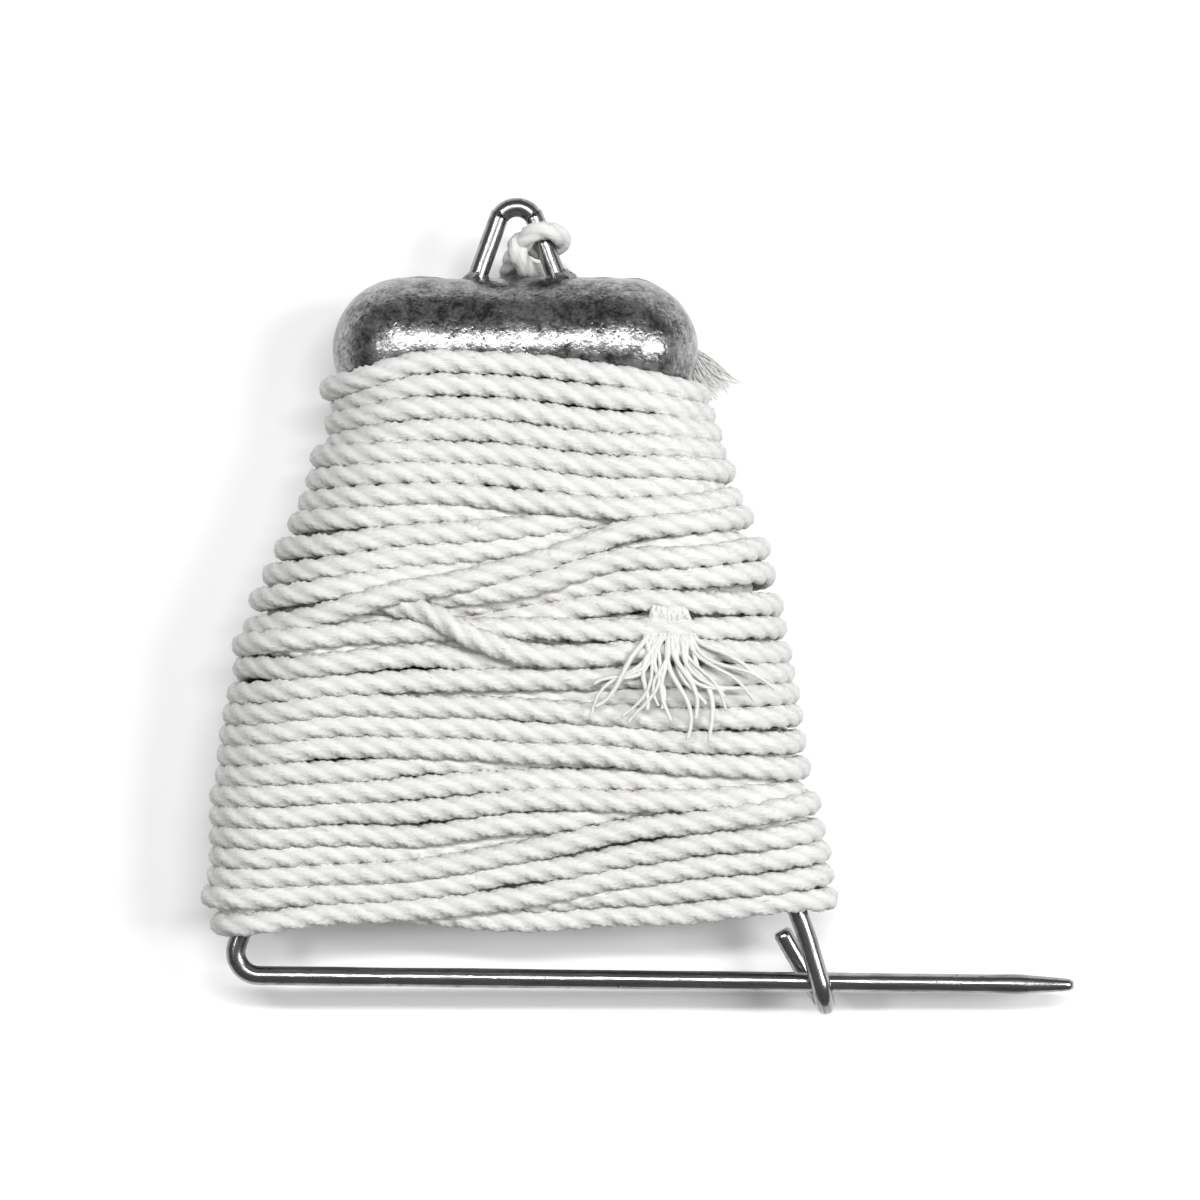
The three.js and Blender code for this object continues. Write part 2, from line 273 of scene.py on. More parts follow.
def joined(name: str, skins: list[Skin]) -> bpy.types.Mesh:
    """Several closed tubes as one mesh.

    Args:
        name: The mesh's name.
        skins: The tubes.

    Returns:
        The mesh, with the map of each tube but not the depth of its grooves.
    """
    whole = bpy.data.meshes.new(name)
    vertices: list[np.ndarray] = []
    faces: list[list[int]] = []
    lays: list[np.ndarray] = []
    base = 0
    for skin in skins:
        part = skin.mesh(name + "_part")
        points = np.empty(len(part.vertices) * 3)
        part.vertices.foreach_get("co", points)
        lay = np.empty(len(part.loops) * 2)
        part.uv_layers[LAY_MAP].data.foreach_get("uv", lay)
        vertices.append(points.reshape(-1, 3))
        faces += [[base + index for index in face.vertices] for face in part.polygons]
        lays.append(lay)
        base += len(part.vertices)
        bpy.data.meshes.remove(part)
    whole.from_pydata(np.vstack(vertices).tolist(), [], faces)
    whole.uv_layers.new(name=LAY_MAP).data.foreach_set("uv", np.concatenate(lays))
    whole.polygons.foreach_set("use_smooth", [True] * len(whole.polygons))
    return whole


# -------------------------------------------------------------------------------- finishes


class Shader:
    """A material's nodes, added one at a time."""

    def __init__(self, name: str) -> None:
        """Starts an empty material with its surface shader."""
        self.material = bpy.data.materials.new(name)
        self.material.use_nodes = True
        self.tree = self.material.node_tree
        self.tree.nodes.clear()
        output = self.tree.nodes.new("ShaderNodeOutputMaterial")
        self.surface = self.tree.nodes.new("ShaderNodeBsdfPrincipled")
        self.tree.links.new(self.surface.outputs[0], output.inputs["Surface"])

    def fill(self, node: bpy.types.Node, inputs: dict) -> bpy.types.Node:
        """Gives a node its inputs.

        Args:
            node: The node.
            inputs: Its inputs by name or number, as values or as outputs of other nodes.

        Returns:
            The same node.
        """
        for key, value in inputs.items():
            if isinstance(value, bpy.types.NodeSocket):
                self.tree.links.new(value, node.inputs[key])
            else:
                node.inputs[key].default_value = value
        return node

    def add(self, kind: str, inputs: dict, **settings: object) -> bpy.types.Node:
        """Adds a node.

        Args:
            kind: The node's type, without ShaderNode.
            inputs: Its inputs by name or number, as values or as outputs of other nodes.
            **settings: Its other properties.

        Returns:
            The new node.
        """
        node = self.tree.nodes.new("ShaderNode" + kind)
        for key, value in settings.items():
            setattr(node, key, value)
        return self.fill(node, inputs)

    def times(self, a: object, b: object) -> bpy.types.NodeSocket:
        """One value multiplied by another."""
        return self.add("Math", {0: a, 1: b}, operation="MULTIPLY").outputs[0]

    def plus(self, a: object, b: object) -> bpy.types.NodeSocket:
        """One value added to another."""
        return self.add("Math", {0: a, 1: b}, operation="ADD").outputs[0]

    def below_one(self, value: object) -> bpy.types.NodeSocket:
        """How far a value is below one."""
        return self.add("Math", {0: 1.0, 1: value}, operation="SUBTRACT").outputs[0]

    def point(self, across: object, along: object) -> bpy.types.NodeSocket:
        """A place on the map of a tube, as a vector."""
        return self.add("CombineXYZ", {0: across, 1: along, 2: 0.0}).outputs[0]

    def grain(
        self, where: bpy.types.NodeSocket, scale: float, detail: float, rough: float = 0.55
    ) -> bpy.types.NodeSocket:
        """The height of a noise field."""
        made = self.add("TexNoise", {"Vector": where, "Scale": scale, "Detail": detail, "Roughness": rough})
        return made.outputs["Fac"]

    def ramp(self, value: bpy.types.NodeSocket, stops: list[tuple[float, float]]) -> bpy.types.NodeSocket:
        """A grey that follows a value.

        Args:
            value: The value, from 0 to 1.
            stops: Places along it and the grey at each, with even change between them.

        Returns:
            The grey.
        """
        node = self.add("ValToRGB", {0: value})
        while len(node.color_ramp.elements) < len(stops):
            node.color_ramp.elements.new(0.5)
        for element, (place, grey) in zip(node.color_ramp.elements, stops):
            element.position = place
            element.color = (grey, grey, grey, 1)
        return node.outputs[0]

    def tint(self, amount: object, low: tuple, high: tuple) -> bpy.types.NodeSocket:
        """A colour between two others."""
        node = self.add("Mix", {0: amount, 6: (*low, 1), 7: (*high, 1)}, data_type="RGBA")
        return node.outputs[2]

    def bump(
        self,
        height: bpy.types.NodeSocket,
        depth: float,
        strength: float,
        under: bpy.types.NodeSocket | None = None,
    ) -> bpy.types.NodeSocket:
        """A surface direction that follows a relief.

        Args:
            height: The relief's height, from 0 to 1.
            depth: How deep the whole relief is, in millimetres.
            strength: How much of it shows.
            under: Another relief's direction, where this one lies over it.

        Returns:
            The direction.
        """
        inputs = {"Height": height, "Distance": depth * MM, "Strength": strength}
        if under is not None:
            inputs["Normal"] = under
        return self.add("Bump", inputs).outputs[0]

    def lay(self) -> tuple[bpy.types.NodeSocket, bpy.types.NodeSocket]:
        """How far round its tube a point is, as a share of a turn, and how far along, in metres."""
        where = self.add("UVMap", {}, uv_map=LAY_MAP).outputs[0]
        parts = self.add("SeparateXYZ", {0: where})
        return parts.outputs[0], parts.outputs[1]


@dataclass(frozen=True)
class CottonFinish:
    """Soft white cotton, with its fibres along the line and painted shade in the grooves between its strands.
    """

    shade: tuple[float, float, float] = (0.64, 0.635, 0.62)
    light: tuple[float, float, float] = (0.75, 0.745, 0.73)
    painted_groove_shade: float = 0.84
    pitch: float = 10.0
    girth: float = 9.4
    fibre_draw: float = 0.16
    yarn_draw: float = 0.3
    roughness: float = 0.9

    def material(self, name: str, grooves: bool = True) -> bpy.types.Material:
        """The finish.

        Args:
            name: The material's name.
            grooves: Whether the surface says how deep in a groove it is, so that shade is painted into its
                grooves.

        Returns:
            The material.
        """
        shader = Shader(name)
        around, along = shader.lay()
        turn = shader.times(along, 1 / (self.pitch * MM))
        across = shader.times(shader.plus(around, turn), self.girth)
        length = shader.times(along, 1 / MM)
        fibre = shader.grain(shader.point(across, shader.times(length, self.fibre_draw)), 5.5, 3.0, 0.6)
        yarn = shader.grain(shader.point(across, shader.times(length, self.yarn_draw)), 1.6, 2.0, 0.5)
        blotch = shader.grain(shader.add("TexCoord", {}).outputs["Object"], 260.0, 2.0)
        mixed = shader.plus(shader.times(fibre, 0.45), shader.times(yarn, 0.35))
        level = shader.plus(mixed, shader.times(blotch, 0.2))
        amount = shader.ramp(level, [(0.36, 0.0), (0.6, 1.0)])
        colour = shader.tint(amount, self.shade, self.light)
        if grooves:
            # Painted shade: the colour is darkened where the line lies deep in a groove between its strands,
            # where shade would fall.
            depth = shader.add("Attribute", {}, attribute_name=GROOVE).outputs["Fac"]
            deep = shader.ramp(depth, [(0.35, 0.0), (0.95, 1.0)])
            unshaded_share = shader.below_one(shader.times(deep, 1 - self.painted_groove_shade))
            grey = shader.add("CombineColor", {0: unshaded_share, 1: unshaded_share, 2: unshaded_share}).outputs[0]
            dark = shader.add("Mix", {0: 1.0, 6: colour, 7: grey}, data_type="RGBA", blend_type="MULTIPLY")
            colour = dark.outputs[2]
        height = shader.plus(shader.times(fibre, 0.5), shader.times(yarn, 0.8))
        shader.fill(
            shader.surface,
            {
                "Base Color": colour,
                "Roughness": self.roughness,
                "Specular IOR Level": 0.2,
                "Sheen Weight": 0.15,
                "Normal": shader.bump(height, 0.3, 0.8),
            },
        )
        return shader.material


@dataclass(frozen=True)
class SteelFinish:
    """Drawn steel wire, worn bright, with dark oxide left in its die lines and specks."""

    dark: tuple[float, float, float] = (0.06, 0.06, 0.062)
    bright: tuple[float, float, float] = (0.36, 0.36, 0.356)
    girth: float = 7.5
    line_draw: float = 0.035

    def material(self, name: str) -> bpy.types.Material:
        """The finish.

        Args:
            name: The material's name.

        Returns:
            The material.
        """
        shader = Shader(name)
        around, along = shader.lay()
        across = shader.times(around, self.girth)
        length = shader.times(along, 1 / MM)
        lines = shader.grain(shader.point(across, shader.times(length, self.line_draw)), 3.2, 3.0, 0.65)
        place = shader.add("TexCoord", {}).outputs["Object"]
        specks = shader.grain(place, 1500.0, 3.0, 0.7)
        patches = shader.grain(place, 160.0, 3.0, 0.6)
        worn = shader.plus(shader.times(lines, 0.5), shader.times(patches, 0.5))
        bare = shader.ramp(worn, [(0.34, 0.25), (0.56, 1.0)])
        flecks = shader.ramp(specks, [(0.33, 0.3), (0.42, 1.0)])
        amount = shader.times(bare, flecks)
        rough = shader.plus(0.17, shader.times(shader.below_one(amount), 0.2))
        shader.fill(
            shader.surface,
            {
                "Base Color": shader.tint(amount, self.dark, self.bright),
                "Metallic": 1.0,
                "Roughness": rough,
                "Normal": shader.bump(specks, 0.02, 0.35, shader.bump(lines, 0.06, 0.5)),
            },
        )
        return shader.material


@dataclass(frozen=True)
class LeadFinish:
    """Cast lead gone dull, with a mottled skin, casting pits and rubbed high spots."""

    dark: tuple[float, float, float] = (0.05, 0.05, 0.052)
    pale: tuple[float, float, float] = (0.4, 0.4, 0.404)

    def material(self, name: str) -> bpy.types.Material:
        """The finish.

        Args:
            name: The material's name.

        Returns:
            The material.
        """
        shader = Shader(name)
        place = shader.add("TexCoord", {}).outputs["Object"]
        cloud = shader.grain(place, 170.0, 5.0, 0.62)
        mottle = shader.grain(place, 620.0, 4.0, 0.65)
        fine = shader.grain(place, 2100.0, 3.0, 0.7)
        cells = shader.add("TexVoronoi", {"Vector": place, "Scale": 900.0}).outputs["Distance"]
        pits = shader.ramp(cells, [(0.06, 0.0), (0.2, 1.0)])
        grit = shader.plus(shader.times(mottle, 0.35), shader.times(fine, 0.35))
        level = shader.plus(shader.times(cloud, 0.3), grit)
        amount = shader.times(shader.ramp(level, [(0.42, 0.05), (0.6, 1.0)]), pits)
        rough = shader.plus(0.13, shader.times(mottle, 0.22))
        lumps = shader.bump(cloud, 0.4, 0.4)
        skin = shader.bump(shader.plus(mottle, shader.times(fine, 1.2)), 0.05, 0.75, lumps)
        shader.fill(
            shader.surface,
            {
                "Base Color": shader.tint(amount, self.dark, self.pale),
                "Metallic": 0.9,
                "Roughness": rough,
                "Normal": shader.bump(pits, 0.06, 0.5, skin),
            },
        )
        return shader.material


@dataclass(frozen=True)
class FloorFinish:
    """A white paper sweep, bright enough to lose its edges."""

    colour: tuple[float, float, float] = (0.93, 0.93, 0.93)
    glow: float = 0.02

    def material(self, name: str) -> bpy.types.Material:
        """The finish.

        Args:
            name: The material's name.

        Returns:
            The material.
        """
        shader = Shader(name)
        tooth = shader.grain(shader.add("TexCoord", {}).outputs["Object"], 900.0, 2.0)
        shader.fill(
            shader.surface,
            {
                "Base Color": (*self.colour, 1),
                "Roughness": 1.0,
                "Specular IOR Level": 0.0,
                "Emission Color": (1, 1, 1, 1),
                "Emission Strength": self.glow,
                "Normal": shader.bump(tooth, 0.02, 0.3),
            },
        )
        return shader.material


# -------------------------------------------------------------------------------- steel wire


@dataclass
class WireFrame:
    """The bent wire: hanging loop, two legs, J hook and the sprung spike arm."""

    radius: float = 1.2
    sides: int = 28
    step: float = 0.5
    mid_z: float = 12.6
    apex: tuple[float, float] = (-15.6, 54.75)
    left_lean: float = math.tan(math.radians(19.8))
    right_lean: float = math.tan(math.radians(20.75))
    loop_radius: float = 2.5
    corner_radius: float = 2.9
    corner_y: float = -45.96
    split_y: float = -37.0
    tip_x: float = 54.5
    arm_droop: float = math.tan(math.radians(0.87))
    arm_drop: float = 2.9
    drop_start: float = 4.07
    point_length: float = 6.5
    point_radius: float = 0.6
    knee: tuple[float, float] = (20.41, -40.3)
    hook_y: float = -47.09
    hook_lean: float = 16.9
    tail_lean: float = 30.0
    tail_length: float = 7.2
    tail_skew: float = 1.1
    hook_radius: float = 2.9
    wave: float = 0.035
    wave_pace: float = 0.09
    oval: float = 0.012
    cut_share: float = 0.72
    bend_start_x: float = -47.8
    bend_end_x: float = -38.0

    def left_x(self, y: np.ndarray | float) -> np.ndarray | float:
        """Where the left leg is at a height."""
        return self.apex[0] - (self.apex[1] - y) * self.left_lean

    def right_x(self, y: np.ndarray | float) -> np.ndarray | float:
        """Where the right leg is at a height."""
        return self.apex[0] + (self.apex[1] - y) * self.right_lean

    def hook_route(self) -> np.ndarray:
        """The J hook: straight past the arm's front, round under it and up behind.

        Returns:
            The route's points, from the knee to the cut end.
        """
        knee = np.array([*self.knee, self.mid_z])
        tangent = math.tan(math.radians(self.hook_lean))
        front = np.array([self.knee[0] + (self.knee[1] - self.hook_y) * tangent, self.hook_y, self.mid_z])
        points = [knee, knee + (front - knee) * 0.5, front]
        for s in np.linspace(0.1, 1.0, 10):
            depth = self.hook_radius * math.sin(math.pi * s)
            lean = math.radians(self.hook_lean + (self.tail_lean - self.hook_lean) * s)
            x = front[0] - self.tail_skew * s + depth * math.tan(lean)
            z = self.mid_z - self.hook_radius * (1 - math.cos(math.pi * s))
            points.append(np.array([x, front[1] - depth, z]))
        lean = math.radians(self.tail_lean)
        up = np.array([-math.sin(lean), math.cos(lean), 0.0])
        tail = [points[-1] + up * self.tail_length * t for t in (0.35, 0.7, 1.0)]
        return np.array(points + tail)

    def frame_route(self) -> np.ndarray:
        """The route of the wire that stays still.

        Returns:
            The points of the left leg, the loop, the right leg and the hook.
        """
        z = self.mid_z
        foot = np.array([self.left_x(self.split_y), self.split_y, z])
        apex = np.array([*self.apex, z])
        hook = self.hook_route()
        loop = bend(apex, foot, hook[0], self.loop_radius, 16)
        left = foot + (loop[0] - foot) * np.linspace(0, 1, 12)[:-1, None]
        right = loop[-1] + (hook[0] - loop[-1]) * np.linspace(0, 1, 12)[1:-1, None]
        return np.vstack([left, loop, right, hook])

    def arm_route(self) -> np.ndarray:
        """The route of the wire that springs.

        Returns:
            The points of the left leg's end, the corner and the arm.
        """
        z = self.mid_z
        foot = np.array([self.left_x(self.split_y), self.split_y, z])
        corner = np.array([self.left_x(self.corner_y), self.corner_y, z])
        hook_x = self.knee[0] + (self.knee[1] - self.hook_y) * math.tan(math.radians(self.hook_lean))
        start_x = corner[0] + self.drop_start
        run = self.tip_x - corner[0]
        tip_z = z - self.arm_drop * (self.tip_x - start_x) / (hook_x - start_x)
        tip = np.array([self.tip_x, self.corner_y - run * self.arm_droop, tip_z])
        arc = bend(corner, foot, tip, self.corner_radius, 14)
        arm = arc[-1] + (tip - arc[-1]) * np.linspace(0.03, 1, 40)[:, None]
        return np.vstack([foot, foot + (arc[0] - foot) * 0.5, arc, arm])

    def drawn(self, route: np.ndarray, radii: np.ndarray, skip: tuple[float, float]) -> Skin:
        """The wire's surface along a route, with a little of the waviness of hand-bent stock.

        Args:
            route: The centreline.
            radii: The radius at each of its points.
            skip: A place in the noise that gives this stretch its own waves.

        Returns:
            The surface.
        """
        angle = round_angles(self.sides)
        along = distances(route)
        wave = [noise.noise(Vector((a * self.wave_pace, *skip))) * self.wave for a in along]
        oval = 1 + self.oval * np.cos(2 * angle)[None, :]
        return Skin(tube_rings(route, (radii + np.array(wave) * radii)[:, None] * oval, angle), along)

    def end_eased(self, route: np.ndarray, radii: np.ndarray, ease: float = 0.25) -> np.ndarray:
        """Radii drawn in at the route's far end, as a filed cut is.

        Args:
            route: The centreline.
            radii: The radius at each of its points.
            ease: How far from the end they start to draw in.

        Returns:
            The new radii.
        """
        left = distances(route)[-1] - distances(route)
        drawn_in = self.cut_share + (1 - self.cut_share) * np.sqrt(np.clip(left / ease, 0, 1))
        return radii * np.where(left < ease, drawn_in, 1.0)

    def build(self, steel: bpy.types.Material) -> tuple[bpy.types.Object, bpy.types.Object]:
        """Makes both stretches of the wire.

        Args:
            steel: The wire's finish.

        Returns:
            The wire that stays still, and the sprung arm, which is left unattached to any body.
        """
        route = stepped(self.frame_route(), self.step)
        body = self.drawn(route, self.end_eased(route, np.full(len(route), self.radius)), (0.0, 0.0))
        nodes = ("hanging_loop", "left_leg", "right_leg", "spring_hook")
        still = piece("wire_frame", body.mesh("wire_frame"), steel, Slot.WIRE, *nodes)
        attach(still, Body.FRAME.value)
        route = stepped(self.arm_route(), self.step)
        left = distances(route)[-1] - distances(route)
        taper = np.clip(left / self.point_length, 0, 1)
        thickening = np.minimum(1, 0.15 + 0.85 * taper**0.8)
        ground = self.point_radius + (self.radius - self.point_radius) * thickening
        flare = 1 + 0.05 * np.exp(-(((left - self.point_length * 1.15) / 1.6) ** 2))
        arm = self.drawn(route, self.end_eased(route, ground * flare, 0.08), (4.0, 7.0))
        sprung = piece("wire_arm", arm.mesh("wire_arm"), steel, Slot.WIRE, "corner_bend", "spike_arm")
        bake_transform(sprung)
        return still, sprung


# -------------------------------------------------------------------------------- cast weight


@dataclass
class CastWeight:
    """The round-ended lead bar, hand-cast on both legs, with flash where the wire leaves it."""

    length: float = 45.6
    radius: float = 8.85
    centre: tuple[float, float, float] = (-15.7, 32.25, 12.6)
    sides: int = 112
    body_steps: int = 110
    end_steps: int = 30
    lump: float = 0.16
    lump_pace: float = 0.07
    skin_grain: float = 0.045
    grain_pace: float = 0.45
    parting: float = 0.22
    parting_width: float = 0.035
    collar_heights: tuple[float, ...] = (0.0, 0.8, 1.3, 1.7, 1.9)
    collar_reach: tuple[float, ...] = (2.3, 1.95, 1.6, 1.35, 1.1)
    collar_sunk: float = 1.2
    collar_sides: int = 24

    def profile(self) -> list[tuple[float, float]]:
        """The bar's outline.

        Returns:
            How far from the bar's middle each ring is, and its radius.
        """
        half = self.length / 2 - self.radius
        rings = []
        for i in range(1, self.end_steps):
            angle = math.pi / 2 * i / self.end_steps
            rings.append((-half - self.radius * math.cos(angle), self.radius * math.sin(angle)))
        rings += [(-half + 2 * half * i / self.body_steps, self.radius) for i in range(self.body_steps + 1)]
        rings += [(-x, r) for x, r in reversed(rings[: self.end_steps - 1])]
        return rings

    def surface(self) -> Skin:
        """The bar's skin.

        Returns:
            The surface, with its casting lumps and its faint parting edge.
        """
        rings = []
        for x, r in self.profile():
            ring = []
            for k in range(self.sides):
                angle = 2 * math.pi * k / self.sides
                out = Vector((0.0, math.cos(angle), math.sin(angle)))
                spot = Vector((x, r * out.y, r * out.z))
                low = noise.fractal(spot * self.lump_pace, 1.0, 2.0, 3)
                small = noise.fractal(spot * self.grain_pace, 0.8, 2.1, 3)
                edge = math.exp(-((math.sin(angle) / self.parting_width) ** 2)) * self.parting
                grow = self.lump * low + self.skin_grain * small + edge * (0.55 + noise.noise(spot * 0.3))
                along = 1 + 0.25 * grow / self.length
                spread = 1 + grow / self.radius
                offset = (x * along, spot.y * spread, spot.z * spread)
                ring.append(tuple(middle + way for middle, way in zip(self.centre, offset)))
            rings.append(ring)
        array = np.array(rings)
        return Skin(array, np.array([x for x, _ in self.profile()]) + self.length / 2)

    def collar(self, x: float, rise: float, seed: int) -> Skin:
        """A ragged ring of flash where one limb of the wire leaves the bar.

        Args:
            x: The limb's centre where it leaves.
            rise: Which way the limb leans as it rises.
            seed: Picks the flash's own ragged shape.

        Returns:
            The ring's surface, as a short flared sleeve.
        """
        top = self.centre[1] + self.radius
        lean = unit(np.array([rise, 1.0, 0.0]))
        base = np.array([x, top, self.centre[2]]) - lean * self.collar_sunk
        level, upright = np.array([lean[1], -lean[0], 0.0]), np.array([0.0, 0.0, 1.0])
        rings = []
        for height, wide in zip(self.collar_heights, self.collar_reach):
            ring = []
            for k in range(self.collar_sides):
                angle = 2 * math.pi * k / self.collar_sides
                spot = Vector((2.2 * math.cos(angle), 2.2 * math.sin(angle), seed + height * 0.4))
                rag = 1 + 0.5 * noise.noise(spot)
                side = level * math.cos(angle) + upright * math.sin(angle)
                ring.append(base + lean * height * rag + side * wide * rag)
            rings.append(ring)
        return Skin(np.array(rings)[:, ::-1, :], np.array(self.collar_heights))

    def build(self, wire: WireFrame, lead: bpy.types.Material) -> bpy.types.Object:
        """Makes the weight with its two collars of flash.

        Args:
            wire: The wire that it is cast on.
            lead: Its finish.

        Returns:
            The weight.
        """
        top = self.centre[1] + self.radius
        left = self.collar(wire.left_x(top), wire.left_lean, 3)
        right = self.collar(wire.right_x(top), -wire.right_lean, 8)
        mesh = joined("cast_weight_bar", [self.surface(), left, right])
        bar = piece("cast_weight_bar", mesh, lead, Slot.LEAD, "cast_weight")
        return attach(bar, Body.FRAME.value)


# -------------------------------------------------------------------------------- twisted line


@dataclass(frozen=True)
class TwistedLine:
    """Three-strand cotton line: its section and its lay."""

    radius: float = 1.56
    strands: int = 3
    sides: int = 12
    pitch: float = 10.0
    crease: float = 0.23

    def skin(self, route: np.ndarray, twist: np.ndarray | None = None) -> Skin:
        """The line's surface along a route.

        Args:
            route: The centreline.
            twist: How much of the strands' shape shows at each point, from 0 to 1.

        Returns:
            The surface, with each row of points following its strand.
        """
        along = distances(route)
        shown = np.ones(len(route)) if twist is None else twist
        angle = round_angles(self.sides) + math.pi / self.strands
        lobe = np.abs(np.cos(self.strands * angle / 2))
        depth = self.crease * (1 - lobe)[None, :] * shown[:, None]
        turned = angle[None, :] + (2 * math.pi * along / self.pitch)[:, None]
        rings = tube_rings(route, self.radius * (1 - depth), turned)
        return Skin(rings, along, (1 - lobe)[None, :] * shown[:, None])


@dataclass(frozen=True)
class Girth:
    """How far out and how deep the outermost turns reach at one height."""

    y: float
    left: float
    right: float
    depth: float


@dataclass(frozen=True)
class Band:
    """Neighbouring outer turns, from the first laid to the last.

    Each row is a turn's height at five even places across the front, from left to right. A sunk row says how
    far the turn lies under its neighbours at the same places, where one is the winding's whole sink depth.
    """

    turns: int
    first: Row
    last: Row
    first_sunk: Row = (0, 0, 0, 0, 0)
    last_sunk: Row = (0, 0, 0, 0, 0)

    def rows(self) -> list[tuple[np.ndarray, np.ndarray]]:
        """The turns' own rows.

        Returns:
            The height row and the sunk row of each turn, in the order in which they were laid.
        """
        made = []
        for i in range(self.turns):
            t = i / max(1, self.turns - 1)
            heights = np.array(self.first) * (1 - t) + np.array(self.last) * t
            sunk = np.array(self.first_sunk) * (1 - t) + np.array(self.last_sunk) * t
            made.append((heights, sunk))
        return made


@dataclass(frozen=True)
class Lap:
    """One full turn: across the front, then back behind to where the next one starts."""

    heights: np.ndarray
    sunk: np.ndarray
    layer: int
    outer: bool


